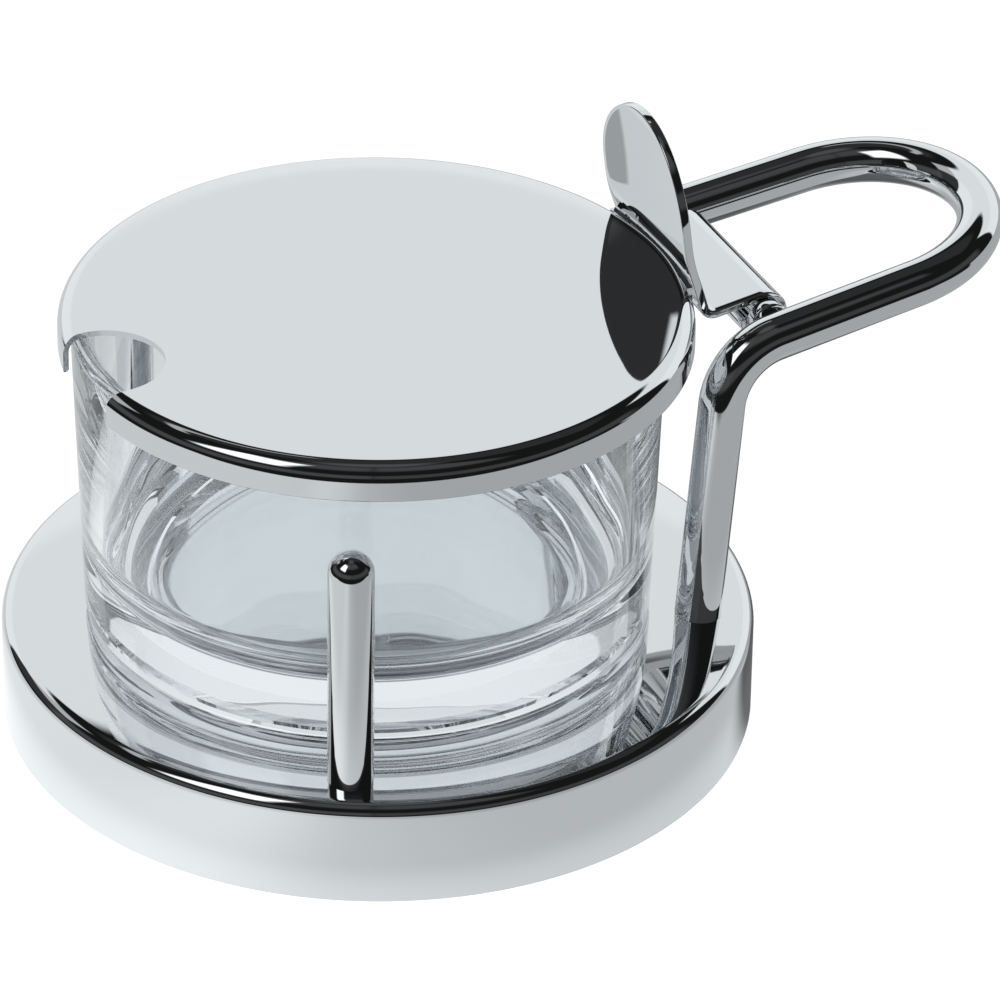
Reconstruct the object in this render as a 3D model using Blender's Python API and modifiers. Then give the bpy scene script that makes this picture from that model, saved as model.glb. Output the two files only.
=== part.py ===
"""A parmesan dish: a glass jar on a round steel stand, under a hinged lid worked by a thumb plate.

Units are metres and +Z is up. The origin is the centre of the stand's underside, the handle
points along +X, and the dish is symmetric about the XZ plane.
"""

import math

import bmesh
import bpy
from mathutils import Vector

# Clearances and facets
SEAT_GAP = 0.0003
OVERRUN = 0.0020
ROUND_STEPS = 64
ROD_STEPS = 16
SMALL_STEPS = 20
MERGE_DISTANCE = 0.00001

# Jar: pressed glass with drafted walls and a heavy floor. The rest is built round it
JAR_HEIGHT = 0.0430
JAR_RADIUS = 0.0388
JAR_DRAFT = 0.0013
JAR_WALL = 0.0025
JAR_FLOOR = 0.0070
JAR_INNER_CORNER = 0.0080
JAR_FOOT_CORNER = 0.0020
JAR_FOOT_RING = 0.0060
JAR_PUNT = 0.0008
JAR_SHIFT = -0.0015

# Stand: a pressed pan with a crowned top, closed underneath by a flanged plate
BASE_MARGIN = 0.0112
BASE_HEIGHT = 0.0155
BASE_SHEET = 0.0012
BASE_EDGE_RADIUS = 0.0020
BASE_CROWN_WIDTH = 0.0160
BASE_CROWN_RADIUS = 0.1300
FOOT_PLATE_SHEET = 0.0012
FOOT_PLATE_FLANGE = 0.0040

# Lid: a pressed disc with a turned-down skirt and a spoon notch
LID_MARGIN = 0.0026
LID_SHEET = 0.0008
LID_SKIRT = 0.0051
LID_EDGE_RADIUS = 0.0018
LID_CROWN_WIDTH = 0.0064
LID_CROWN_RADIUS = 0.0500
LID_SHIFT = -0.0004
NOTCH_RADIUS = 0.0079
NOTCH_INSET = 0.0034

# Hinge and thumb leaf: one bent sheet, rolled round the pin at its rear end
PLATE_INSET = 0.0018
HINGE_REACH = 0.0106
HINGE_DROP = 0.0067
PIN_RADIUS = 0.0019
SPIGOT_RADIUS = 0.0012
SPIGOT_LENGTH = 0.0034
SPACER_RADIUS = 0.0027
LEAF_SHEET = 0.0012
LEAF_HALF_WIDTH = 0.0122
LEAF_BEND_RADIUS = 0.0017
LEAF_ROLL = math.radians(285)
PLATE_RISE = 0.0203
PLATE_LEAN = math.radians(7.4)

# Handle: one bent rod, two legs, two arms and a half-round end
ROD_RADIUS = 0.0031
LEG_CLEARANCE = 0.0020
LEG_ANGLE = math.radians(27.7)
KNEE_REACH = 0.0081
KNEE_RADIUS = 0.0092
ARM_CLEARANCE = 0.0026
ARM_RISE = math.radians(8.2)
LOOP_REACH = 0.0191
LOOP_TAPER = 0.0010

# Front posts
POST_RADIUS = 0.0030
POST_HEIGHT = 0.0332
POST_CLEARANCE = 0.0013
POST_ANGLE = math.radians(116.5)

# Screws that hold the rods down, driven from inside the stand
SCREW_RADIUS = 0.0015
SCREW_HEAD_RADIUS = 0.0028
SCREW_HEAD_HEIGHT = 0.0019
SCREW_HEAD_EDGE = 0.0007
SCREW_REACH = 0.0075

# Radii and places in plan that follow from the sizes above
BASE_RADIUS = JAR_RADIUS + BASE_MARGIN
LID_RADIUS = JAR_RADIUS + LID_MARGIN
PLATE_FACE_X = LID_SHIFT + LID_RADIUS - PLATE_INSET
HINGE_X = PLATE_FACE_X + HINGE_REACH
LEG_DISTANCE = JAR_RADIUS + LEG_CLEARANCE + ROD_RADIUS
LEG_FOOT_X = JAR_SHIFT + LEG_DISTANCE * math.cos(LEG_ANGLE)
LEG_FOOT_SPREAD = LEG_DISTANCE * math.sin(LEG_ANGLE)
KNEE_X = HINGE_X - KNEE_REACH
KNEE_SPREAD = LEAF_HALF_WIDTH + ARM_CLEARANCE + ROD_RADIUS
LOOP_CENTRE_X = HINGE_X + LOOP_REACH
LOOP_RADIUS = KNEE_SPREAD - LOOP_TAPER
POST_DISTANCE = JAR_RADIUS + POST_CLEARANCE + POST_RADIUS
POST_X = JAR_SHIFT + POST_DISTANCE * math.cos(POST_ANGLE)
POST_SPREAD = POST_DISTANCE * math.sin(POST_ANGLE)

# Heights that follow from the sizes above
JAR_FOOT_Z = BASE_HEIGHT + SEAT_GAP
JAR_TOP_Z = JAR_FOOT_Z + JAR_HEIGHT
LID_TOP_Z = JAR_TOP_Z + SEAT_GAP + LID_SHEET
HINGE_Z = LID_TOP_Z - HINGE_DROP
KNEE_Z = HINGE_Z - math.tan(ARM_RISE) * (HINGE_X - KNEE_X)


def clear_scene():
    for item in list(bpy.data.objects):
        bpy.data.objects.remove(item, do_unlink=True)


def make_collection(name):
    collection = bpy.data.collections.new(name)
    bpy.context.scene.collection.children.link(collection)
    return collection


def make_material(name, colour, metallic, roughness, transmission=0.0):
    material = bpy.data.materials.new(name)
    material.use_nodes = True
    shader = material.node_tree.nodes["Principled BSDF"]
    shader.inputs["Base Color"].default_value = (*colour, 1.0)
    shader.inputs["Metallic"].default_value = metallic
    shader.inputs["Roughness"].default_value = roughness
    shader.inputs["Transmission Weight"].default_value = transmission
    return material


def link_mesh(name, mesh, collection, material=None):
    item = bpy.data.objects.new(name, mesh)
    collection.objects.link(item)
    if material:
        mesh.materials.append(material)
    mesh.shade_smooth()
    mesh.set_sharp_from_angle(angle=math.radians(35))
    return item


def arc(centre, radius, start, end, steps):
    """Points (r, z) round a centre, from one angle in degrees to another."""
    points = []
    for index in range(steps + 1):
        angle = math.radians(start + (end - start) * index / steps)
        points.append((centre[0] + radius * math.cos(angle), centre[1] + radius * math.sin(angle)))
    return points


def turned(name, outline, collection, material=None, steps=ROUND_STEPS, ring=False):
    """Turn an (r, z) outline about Z. A ring's outline closes on itself, clear of the axis."""
    mesh = bpy.data.meshes.new(name)
    count = len(outline)
    edges = [(index, index + 1) for index in range(count - 1)]
    if ring:
        edges.append((count - 1, 0))
    mesh.from_pydata([(r, 0.0, z) for r, z in outline], edges, [])
    item = link_mesh(name, mesh, collection, material)
    screw = item.modifiers.new("Turn", "SCREW")
    screw.axis = "Z"
    screw.angle = math.tau
    screw.steps = steps
    screw.render_steps = steps
    screw.use_merge_vertices = True
    screw.merge_threshold = MERGE_DISTANCE
    screw.use_smooth_shade = True
    return item


def prism(name, outline, depth, collection):
    """A flat outline of (y, z) points, made solid along X from the origin by the depth."""
    work = bmesh.new()
    corners = [work.verts.new((0.0, y, z)) for y, z in outline]
    face = work.faces.new(corners)
    grown = bmesh.ops.extrude_face_region(work, geom=[face])
    moved = [part for part in grown["geom"] if isinstance(part, bmesh.types.BMVert)]
    bmesh.ops.translate(work, verts=moved, vec=(depth, 0.0, 0.0))
    bmesh.ops.recalc_face_normals(work, faces=work.faces)
    mesh = bpy.data.meshes.new(name)
    work.to_mesh(mesh)
    work.free()
    return link_mesh(name, mesh, collection)


def as_cutter(item):
    item.hide_render = True
    item.display_type = "WIRE"
    return item


def drum_cutter(name, radius, low, high, centre, cutters, steps=SMALL_STEPS):
    """An upright cylinder between two heights."""
    bpy.ops.mesh.primitive_cylinder_add(
        vertices=steps, radius=radius, depth=high - low, location=(*centre, (low + high) / 2))
    item = bpy.context.object
    item.name = name
    for owner in list(item.users_collection):
        owner.objects.unlink(item)
    cutters.objects.link(item)
    return as_cutter(item)


def box_cutter(name, low, high, cutters):
    bpy.ops.mesh.primitive_cube_add(size=1.0, location=[(a + b) / 2 for a, b in zip(low, high)])
    item = bpy.context.object
    item.name = name
    item.scale = [b - a for a, b in zip(low, high)]
    for owner in list(item.users_collection):
        owner.objects.unlink(item)
    cutters.objects.link(item)
    return as_cutter(item)


def shape_with(item, cutter, operation="DIFFERENCE"):
    modifier = item.modifiers.new(cutter.name, "BOOLEAN")
    modifier.operation = operation
    modifier.solver = "EXACT"
    modifier.object = cutter


def crowned_edge(radius, top, width, crown, edge, drop):
    """A top surface from the axis to the wall: flat, then gently crowned, then a tight edge.

    The crown starts its width in from the wall. The drop moves the whole line inward through
    the sheet, for its underside.
    """
    flat = radius - width
    crown_centre = (flat, top - crown)
    edge_centre_r = radius - edge
    reach = edge_centre_r - flat
    edge_centre = (edge_centre_r, top - crown + math.sqrt((crown - edge) ** 2 - reach ** 2))
    meeting = math.degrees(math.atan2(edge_centre[1] - crown_centre[1], reach))
    points = [(0.0, top - drop)]
    points += arc(crown_centre, crown - drop, 90, meeting, 4)
    points += arc(edge_centre, edge - drop, meeting, 0, 6)[1:]
    return points


def pan_outline(radius, top, low, sheet, width, crown, edge):
    """A pressed pan, open below: its outside from the axis to the rim, then its inside back."""
    outside = crowned_edge(radius, top, width, crown, edge, 0.0)
    inside = crowned_edge(radius, top, width, crown, edge, sheet)
    return outside + [(radius, low), (radius - sheet, low)] + inside[::-1]


def base_top_outline():
    return crowned_edge(BASE_RADIUS, BASE_HEIGHT, BASE_CROWN_WIDTH, BASE_CROWN_RADIUS,
                        BASE_EDGE_RADIUS, 0.0)


def base_top_at(distance):
    """Height of the stand's top at a distance from its centre, outside the flat middle."""
    reach = distance - (BASE_RADIUS - BASE_CROWN_WIDTH)
    return BASE_HEIGHT - BASE_CROWN_RADIUS + math.sqrt(BASE_CROWN_RADIUS ** 2 - reach ** 2)


def seat_cutter(cutters):
    """The stand's top raised by the seat gap. It trims the rods' lower ends to that surface."""
    outline = [(r, z + SEAT_GAP) for r, z in base_top_outline()]
    outline += [(BASE_RADIUS, 0.0), (0.0, 0.0)]
    return as_cutter(turned("seat_cutter", outline, cutters))


def screw_places():
    """Name, x and y of each screw: under the legs' feet and the posts."""
    slope = (KNEE_X - LEG_FOOT_X) / (KNEE_Z - BASE_HEIGHT)
    turn_in = (LEG_FOOT_SPREAD - KNEE_SPREAD) / (KNEE_Z - BASE_HEIGHT)
    leg_x = LEG_FOOT_X + slope * SCREW_REACH / 2
    leg_y = LEG_FOOT_SPREAD - turn_in * SCREW_REACH / 2
    return [
        ("leg_screw_right", leg_x, -leg_y),
        ("leg_screw_left", leg_x, leg_y),
        ("post_screw_right", POST_X, -POST_SPREAD),
        ("post_screw_left", POST_X, POST_SPREAD),
    ]


def make_base_shell(parts, cutters, steel):
    outline = pan_outline(BASE_RADIUS, BASE_HEIGHT, 0.0, BASE_SHEET, BASE_CROWN_WIDTH,
                          BASE_CROWN_RADIUS, BASE_EDGE_RADIUS)
    shell = turned("base_shell", outline, parts, steel)
    for name, x, y in screw_places():
        hole = drum_cutter(name + "_hole", SCREW_RADIUS + SEAT_GAP,
                           BASE_HEIGHT - BASE_EDGE_RADIUS - OVERRUN, BASE_HEIGHT + OVERRUN,
                           (x, y), cutters)
        shape_with(shell, hole)


def make_base_plate(parts, steel):
    radius = BASE_RADIUS - BASE_SHEET - SEAT_GAP
    inner = radius - FOOT_PLATE_SHEET
    outline = [(0.0, FOOT_PLATE_SHEET), (inner, FOOT_PLATE_SHEET), (inner, FOOT_PLATE_FLANGE),
               (radius, FOOT_PLATE_FLANGE), (radius, 0.0), (0.0, 0.0)]
    turned("base_plate", outline, parts, steel)


def make_screw(name, x, y, parts, steel):
    """A pan-head screw under the stand's top sheet, its shank up in the rod above."""
    distance = math.hypot(x, y) + SCREW_HEAD_RADIUS
    seat = base_top_at(distance) - BASE_SHEET - SEAT_GAP
    foot = seat - SCREW_HEAD_HEIGHT
    tip = base_top_at(math.hypot(x, y)) + SCREW_REACH
    outline = [(0.0, tip), (SCREW_RADIUS, tip), (SCREW_RADIUS, seat), (SCREW_HEAD_RADIUS, seat)]
    outline += arc((SCREW_HEAD_RADIUS - SCREW_HEAD_EDGE, foot + SCREW_HEAD_EDGE),
                   SCREW_HEAD_EDGE, 0, -90, 3)
    outline += [(0.0, foot)]
    screw = turned(name, outline, parts, steel, SMALL_STEPS)
    screw.location = (x, y, 0.0)


def screw_bore(name, x, y, cutters):
    high = base_top_at(math.hypot(x, y)) + SCREW_REACH + SEAT_GAP
    return drum_cutter(name + "_bore", SCREW_RADIUS + SEAT_GAP, 0.0, high, (x, y), cutters)


def make_posts(parts, seat, cutters, steel):
    """Two upright rods with round tops, which keep the jar from sliding off the front."""
    low = BASE_HEIGHT - BASE_EDGE_RADIUS
    dome = BASE_HEIGHT + POST_HEIGHT - POST_RADIUS
    outline = arc((0.0, dome), POST_RADIUS, 90, 0, 6) + [(POST_RADIUS, low), (0.0, low)]
    for name, x, y in screw_places()[2:]:
        post = turned(name.replace("_screw", ""), outline, parts, steel, SMALL_STEPS)
        post.location = (x, y, 0.0)
        shape_with(post, seat)
        shape_with(post, screw_bore(name, x, y, cutters))


def loop_tangent():
    """Angle at which the arms run in towards the round end, in plan."""
    run = LOOP_CENTRE_X - KNEE_X
    distance = math.hypot(run, KNEE_SPREAD)
    return math.atan2(KNEE_SPREAD, run) - math.asin(LOOP_RADIUS / distance)


def arm_height(x):
    return KNEE_Z + math.tan(ARM_RISE) * (x - KNEE_X)


def arm_spread(x):
    """Distance of the arm's centre line from the XZ plane."""
    return KNEE_SPREAD - math.tan(loop_tangent()) * (x - KNEE_X)


def handle_half():
    """Centre line of the right half of the rod, from below its foot to the middle of the loop."""
    foot = Vector((LEG_FOOT_X, -LEG_FOOT_SPREAD, BASE_HEIGHT))
    knee = Vector((KNEE_X, -KNEE_SPREAD, KNEE_Z))
    inward = loop_tangent()
    touch_x = LOOP_CENTRE_X + LOOP_RADIUS * math.sin(inward)
    touch = Vector((touch_x, -LOOP_RADIUS * math.cos(inward), arm_height(touch_x)))
    down = (foot - knee).normalized()
    along = (touch - knee).normalized()
    half_angle = down.angle(along) / 2
    setback = KNEE_RADIUS / math.tan(half_angle)
    middle = knee + (down + along).normalized() * (KNEE_RADIUS / math.sin(half_angle))
    start = knee + down * setback - middle
    end = knee + along * setback - middle
    sweep = start.angle(end)
    points = [foot + down * OVERRUN]
    bend_steps = 8
    for index in range(bend_steps + 1):
        share = index / bend_steps
        blend = (math.sin((1 - share) * sweep) * start + math.sin(share * sweep) * end)
        points.append(middle + blend / math.sin(sweep))
    loop_steps = 11
    first = -math.pi / 2 + inward
    for index in range(loop_steps + 1):
        angle = first * (1 - index / loop_steps)
        x = LOOP_CENTRE_X + LOOP_RADIUS * math.cos(angle)
        points.append(Vector((x, LOOP_RADIUS * math.sin(angle), arm_height(x))))
    return points


def tube_along(name, points, radius, collection, material):
    """A round rod along a centre line, with welded ends, as a mesh that can be cut."""
    curve = bpy.data.curves.new(name + "_line", "CURVE")
    curve.dimensions = "3D"
    curve.bevel_depth = radius
    curve.bevel_resolution = ROD_STEPS // 2 - 2
    curve.use_fill_caps = True
    spline = curve.splines.new("POLY")
    spline.points.add(len(points) - 1)
    for slot, point in zip(spline.points, points):
        slot.co = (*point, 1.0)
    guide = bpy.data.objects.new(name + "_line", curve)
    collection.objects.link(guide)
    bpy.context.view_layer.update()
    graph = bpy.context.evaluated_depsgraph_get()
    mesh = bpy.data.meshes.new_from_object(guide.evaluated_get(graph))
    work = bmesh.new()
    work.from_mesh(mesh)
    bmesh.ops.remove_doubles(work, verts=work.verts, dist=MERGE_DISTANCE)
    bmesh.ops.recalc_face_normals(work, faces=work.faces)
    work.to_mesh(mesh)
    work.free()
    item = link_mesh(name, mesh, collection, material)
    item.matrix_world = guide.matrix_world
    bpy.data.objects.remove(guide, do_unlink=True)
    return item


def make_handle(parts, seat, cutters, steel):
    half = handle_half()
    mirrored = [Vector((point.x, -point.y, point.z)) for point in half[-2::-1]]
    rod = tube_along("handle_rod", half + mirrored, ROD_RADIUS, parts, steel)
    shape_with(rod, seat)
    for name, x, y in screw_places()[:2]:
        shape_with(rod, screw_bore(name, x, y, cutters))
    inner_face = arm_spread(HINGE_X) - ROD_RADIUS
    for side in (-1, 1):
        bore = drum_cutter("pin_bore_" + ("right" if side < 0 else "left"),
                           SPIGOT_RADIUS + SEAT_GAP, inner_face - OVERRUN,
                           inner_face + SPIGOT_LENGTH, (0.0, 0.0), cutters)
        bore.location = (HINGE_X, side * bore.location.z, HINGE_Z)
        bore.rotation_euler = (math.radians(90), 0.0, 0.0)
        shape_with(rod, bore)


def make_hinge_pin(parts, steel):
    """A shouldered pin: its spigots sit in the arms and the lid's leaf turns on its body."""
    shoulder = arm_spread(HINGE_X) - ROD_RADIUS - SEAT_GAP
    tip = shoulder + SPIGOT_LENGTH
    outline = [(0.0, tip), (SPIGOT_RADIUS, tip), (SPIGOT_RADIUS, shoulder), (PIN_RADIUS, shoulder),
               (PIN_RADIUS, -shoulder), (SPIGOT_RADIUS, -shoulder), (SPIGOT_RADIUS, -tip),
               (0.0, -tip)]
    pin = turned("hinge_pin", outline, parts, steel, SMALL_STEPS)
    pin.location = (HINGE_X, 0.0, HINGE_Z)
    pin.rotation_euler = (math.radians(90), 0.0, 0.0)
    near = LEAF_HALF_WIDTH + SEAT_GAP
    bore = PIN_RADIUS + SEAT_GAP
    ring = [(bore, shoulder), (SPACER_RADIUS, shoulder), (SPACER_RADIUS, near), (bore, near)]
    for side, name in ((1, "pin_spacer_right"), (-1, "pin_spacer_left")):
        spacer = turned(name, ring, parts, steel, SMALL_STEPS, ring=True)
        spacer.location = (HINGE_X, 0.0, HINGE_Z)
        spacer.rotation_euler = (side * math.radians(90), 0.0, 0.0)


def jar_outline():
    """From the middle of the inner floor up the inside, over the rim and down the outside."""
    draft = math.atan2(JAR_DRAFT, JAR_HEIGHT)
    lean = math.degrees(draft)
    floor = JAR_FOOT_Z + JAR_FLOOR
    rim = JAR_WALL / 2

    def outer_at(z):
        return JAR_RADIUS - math.tan(draft) * (JAR_TOP_Z - z)

    corner_z = floor + JAR_INNER_CORNER
    corner_r = outer_at(corner_z) - JAR_WALL - JAR_INNER_CORNER
    rim_z = JAR_TOP_Z - rim
    foot_z = JAR_FOOT_Z + JAR_FOOT_CORNER
    foot_r = outer_at(foot_z) - JAR_FOOT_CORNER
    ring_r = foot_r - JAR_FOOT_RING
    outline = [(0.0, floor)]
    outline += arc((corner_r, corner_z), JAR_INNER_CORNER, -90, -lean, 8)
    outline += arc((outer_at(rim_z) - rim, rim_z), rim, 180 - lean, -lean, 8)
    outline += arc((foot_r, foot_z), JAR_FOOT_CORNER, -lean, -90, 5)
    outline += [(ring_r, JAR_FOOT_Z), (ring_r - JAR_PUNT, JAR_FOOT_Z + JAR_PUNT)]
    outline += [(0.0, JAR_FOOT_Z + JAR_PUNT)]
    return outline


def make_jar(parts, glass):
    jar = turned("glass_jar", jar_outline(), parts, glass)
    jar.location = (JAR_SHIFT, 0.0, 0.0)


def make_lid(parts, cutters, steel):
    """The cover: notched for the spoon in front, and relieved behind for the thumb plate."""
    low = LID_TOP_Z - LID_SKIRT
    outline = pan_outline(LID_RADIUS, LID_TOP_Z, low, LID_SHEET, LID_CROWN_WIDTH,
                          LID_CROWN_RADIUS, LID_EDGE_RADIUS)
    cover = turned("lid_cover", outline, parts, steel)
    cover.location = (LID_SHIFT, 0.0, 0.0)
    notch = drum_cutter("spoon_notch", NOTCH_RADIUS, low - OVERRUN, LID_TOP_Z + OVERRUN,
                        (LID_SHIFT - LID_RADIUS + NOTCH_INSET, 0.0), cutters, 2 * SMALL_STEPS)
    shape_with(cover, notch)
    side = LEAF_HALF_WIDTH + SEAT_GAP
    relief = box_cutter("plate_relief", (PLATE_FACE_X - SEAT_GAP, -side, low - OVERRUN),
                        (LID_RADIUS + OVERRUN, side, LID_TOP_Z + OVERRUN), cutters)
    shape_with(cover, relief)


def leaf_line():
    """Middle of the sheet, seen from the side: down the plate, back along the leaf, round the pin."""
    roll_radius = PIN_RADIUS + SEAT_GAP + LEAF_SHEET / 2
    along = Vector((math.cos(ARM_RISE), math.sin(ARM_RISE)))
    up = Vector((-math.sin(PLATE_LEAN), math.cos(PLATE_LEAN)))
    hinge = Vector((HINGE_X, HINGE_Z))
    tangent = hinge + roll_radius * Vector((-along.y, along.x))
    face = Vector((PLATE_FACE_X + LEAF_SHEET / 2 / math.cos(PLATE_LEAN), LID_TOP_Z))
    drop = ((tangent - face).x * along.y - (tangent - face).y * along.x)
    drop /= (up.x * along.y - up.y * along.x)
    corner = face + up * drop
    top = face + up * (PLATE_RISE + OVERRUN)
    half_angle = math.acos(up.dot(along)) / 2
    setback = LEAF_BEND_RADIUS / math.tan(half_angle)
    middle = corner + (up + along).normalized() * (LEAF_BEND_RADIUS / math.sin(half_angle))
    start = corner + up * setback - middle
    end = corner + along * setback - middle
    sweep = start.angle(end)
    points = [top]
    bend_steps = 5
    for index in range(bend_steps + 1):
        share = index / bend_steps
        blend = math.sin((1 - share) * sweep) * start + math.sin(share * sweep) * end
        points.append(middle + blend / math.sin(sweep))
    roll_steps = 16
    first = math.pi / 2 + ARM_RISE
    for index in range(roll_steps + 1):
        angle = first - LEAF_ROLL * index / roll_steps
        points.append(hinge + roll_radius * Vector((math.cos(angle), math.sin(angle))))
    return points


def make_thumb_leaf(parts, cutters, steel):
    """Thumb plate, leaf and hinge barrel, bent from one sheet; the plate's top is half round."""
    half = LEAF_HALF_WIDTH + OVERRUN
    line = leaf_line()
    vertices = [(point.x, side * half, point.y) for point in line for side in (-1, 1)]
    faces = [(2 * i, 2 * i + 1, 2 * i + 3, 2 * i + 2) for i in range(len(line) - 1)]
    mesh = bpy.data.meshes.new("thumb_leaf")
    mesh.from_pydata(vertices, [], faces)
    leaf = link_mesh("thumb_leaf", mesh, parts, steel)
    solid = leaf.modifiers.new("Sheet", "SOLIDIFY")
    solid.thickness = LEAF_SHEET
    solid.offset = 0.0
    solid.use_even_offset = True
    round_z = LID_TOP_Z + PLATE_RISE * math.cos(PLATE_LEAN) - LEAF_HALF_WIDTH
    low = HINGE_Z - HINGE_DROP
    outline = [(-LEAF_HALF_WIDTH, low), (LEAF_HALF_WIDTH, low)]
    outline += arc((0.0, round_z), LEAF_HALF_WIDTH, 0, 180, 24)
    trim = prism("leaf_trim", outline, HINGE_X, cutters)
    trim.location = (HINGE_X / 2, 0.0, 0.0)
    shape_with(leaf, as_cutter(trim), "INTERSECT")


def main():
    clear_scene()
    parts = make_collection("parmesan_dish")
    cutters = make_collection("cutters")
    steel = make_material("polished_steel", (0.72, 0.73, 0.74), 1.0, 0.06)
    plate_steel = make_material("plain_steel", (0.55, 0.56, 0.57), 1.0, 0.35)
    glass = make_material("clear_glass", (0.93, 0.97, 0.98), 0.0, 0.02, 1.0)
    seat = seat_cutter(cutters)
    make_base_shell(parts, cutters, steel)
    make_base_plate(parts, plate_steel)
    make_handle(parts, seat, cutters, steel)
    make_posts(parts, seat, cutters, steel)
    make_jar(parts, glass)
    make_lid(parts, cutters, steel)
    make_thumb_leaf(parts, cutters, steel)
    make_hinge_pin(parts, steel)
    for name, x, y in screw_places():
        make_screw(name, x, y, parts, plate_steel)


main()
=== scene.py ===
"""A parmesan dish in a pale studio: mirror-polished steel and clear pressed glass.

Units are metres and +Z is up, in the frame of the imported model. The handle points along +X.
"""

import math

import bmesh
import bpy
from mathutils import Matrix, Vector


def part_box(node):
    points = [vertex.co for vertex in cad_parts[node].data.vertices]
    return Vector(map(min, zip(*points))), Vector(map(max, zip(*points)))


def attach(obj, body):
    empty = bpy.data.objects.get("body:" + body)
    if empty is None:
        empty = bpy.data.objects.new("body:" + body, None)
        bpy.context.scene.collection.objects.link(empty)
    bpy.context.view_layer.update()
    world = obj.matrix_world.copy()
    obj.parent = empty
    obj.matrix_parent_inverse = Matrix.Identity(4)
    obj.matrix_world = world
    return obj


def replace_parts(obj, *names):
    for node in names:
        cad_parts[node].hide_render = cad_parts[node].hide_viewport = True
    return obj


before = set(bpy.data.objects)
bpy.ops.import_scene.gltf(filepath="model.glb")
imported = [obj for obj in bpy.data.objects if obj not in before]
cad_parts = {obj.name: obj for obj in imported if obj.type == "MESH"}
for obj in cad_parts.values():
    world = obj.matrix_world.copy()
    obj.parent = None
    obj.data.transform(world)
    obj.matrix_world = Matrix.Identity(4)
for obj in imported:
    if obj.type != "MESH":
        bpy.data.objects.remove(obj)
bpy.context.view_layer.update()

# Camera, fitted to the outlines in the photograph
CAMERA_PLACE = Vector((-0.3186, -0.7211, 0.5095))
CAMERA_AHEAD = Vector((0.36111, 0.77439, -0.51953))
CAMERA_DOWN = Vector((-0.20502, -0.47757, -0.85434))
CAMERA_LENS = 252.0
CAMERA_SENSOR = 36.0
CAMERA_REACH = 20.0

# Level directions ahead of that camera's place and to its right, which the studio is laid out by
SIGHT_AHEAD = Vector((0.4226, 0.9063, 0.0))
SIGHT_RIGHT = Vector((0.9063, -0.4226, 0.0))

# Facets of round pieces and steps along curves
ROUND_STEPS = 256
ROD_SIDES = 56
SMALL_STEPS = 64
NOTCH_STEPS = 120
CROWN_STEPS = 14
PAN_EDGE_STEPS = 28
LIP_STEPS = 8
JAR_INNER_STEPS = 28
JAR_RIM_STEPS = 24
JAR_FOOT_STEPS = 14
DOME_STEPS = 20
KNEE_STEPS = 30
LOOP_STEPS = 44
BEND_STEPS = 14
ROLL_STEPS = 48
PLATE_ARC_STEPS = 60
PLATE_ARC_START = 89.0
PLATE_STRAIGHT_STEPS = 30
LEAF_COLUMNS = 26
LEAF_EDGE_STEPS = 4
COLLAR_EDGE_STEPS = 6
BOW_STEPS = 32

# Cuts, merging and shading
CUT_OVER = 0.002
EDGE_BREAK = 0.00012
EDGE_BREAK_SEGMENTS = 3
EDGE_BREAK_ANGLE = math.radians(40)
SHEET_SHARP_ANGLE = math.radians(50)
ROD_SHARP_ANGLE = math.radians(40)
MERGE_DISTANCE = 0.000002
SLIGHT_GAP = 0.00002

# Sizes that repeat the solids' own
BASE_SHEET = 0.0012
BASE_EDGE_RADIUS = 0.0020
BASE_CROWN_WIDTH = 0.0160
BASE_CROWN_RADIUS = 0.1300
JAR_DRAFT = 0.0013
JAR_WALL = 0.0025
JAR_FLOOR = 0.0070
JAR_INNER_CORNER = 0.0080
JAR_FOOT_CORNER = 0.0020
JAR_FOOT_RING = 0.0060
JAR_PUNT = 0.0008
JAR_SHIFT = -0.0015
LID_SHEET = 0.0008
LID_EDGE_RADIUS = 0.0023
LID_CROWN_WIDTH = 0.0064
LID_CROWN_RADIUS = 0.1200
LID_SHIFT = -0.0004
NOTCH_RADIUS = 0.0079
NOTCH_INSET = 0.0034
PLATE_FACE_X = 0.0392
PLATE_RISE = 0.02023
PLATE_LEAN = math.radians(7.4)
LEAF_SHEET = 0.0012
LEAF_HALF_WIDTH = 0.0122
LEAF_BEND_RADIUS = 0.0017
LEAF_ROLL = math.radians(285)
PIN_CLEARANCE = 0.0003
ROD_RADIUS = 0.0031
LEG_FOOT_X = 0.03736
LEG_FOOT_SPREAD = 0.02041
KNEE_X = 0.0417
KNEE_SPREAD = 0.0179
KNEE_RADIUS = 0.0092
ARM_RISE = math.radians(8.2)
LOOP_CENTRE_X = 0.06888
LOOP_RADIUS = 0.0169

# Finer shape of the thumb plate, which the flat solid leaves out
PLATE_BOW_RADIUS = 0.0800
PLATE_EDGE = 0.00018
FOOT_SWEEP_RISE = 0.0059
FOOT_SWEEP_RADIUS = 0.0233

# Steel, glass and table
STEEL_TONE = (0.79, 0.80, 0.81, 1.0)
STEEL_HAZE_SCALE = 140.0
STEEL_HAZE_DETAIL = 4.0
STEEL_HAZE = (0.012, 0.034)
STEEL_WAVE_SCALE = 32.0
STEEL_WAVE_SHARE = 0.05
STEEL_WAVE_DEPTH = 0.00006
SPUN_TONE_DARK = (0.50, 0.51, 0.52, 1.0)
SPUN_TONE_PALE = (0.62, 0.63, 0.64, 1.0)
SPUN_HAZE = (0.26, 0.40)
SPUN_RING_SCALE = 420.0
SPUN_RING_WANDER = 1.5
SPUN_RING_DETAIL = 3.0
SPUN_RING_SHARE = 0.25
SPUN_RING_DEPTH = 0.00003
GLASS_TONE = (0.975, 0.99, 0.995, 1.0)
GLASS_BENDING = 1.5
GLASS_SWELL_SCALE = 60.0
GLASS_SWELL_STRETCH = (1.0, 1.0, 0.22)
GLASS_SWELL_SHARE = 0.30
GLASS_SWELL_DEPTH = 0.0006
TABLE_REACH = 3.0
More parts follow.
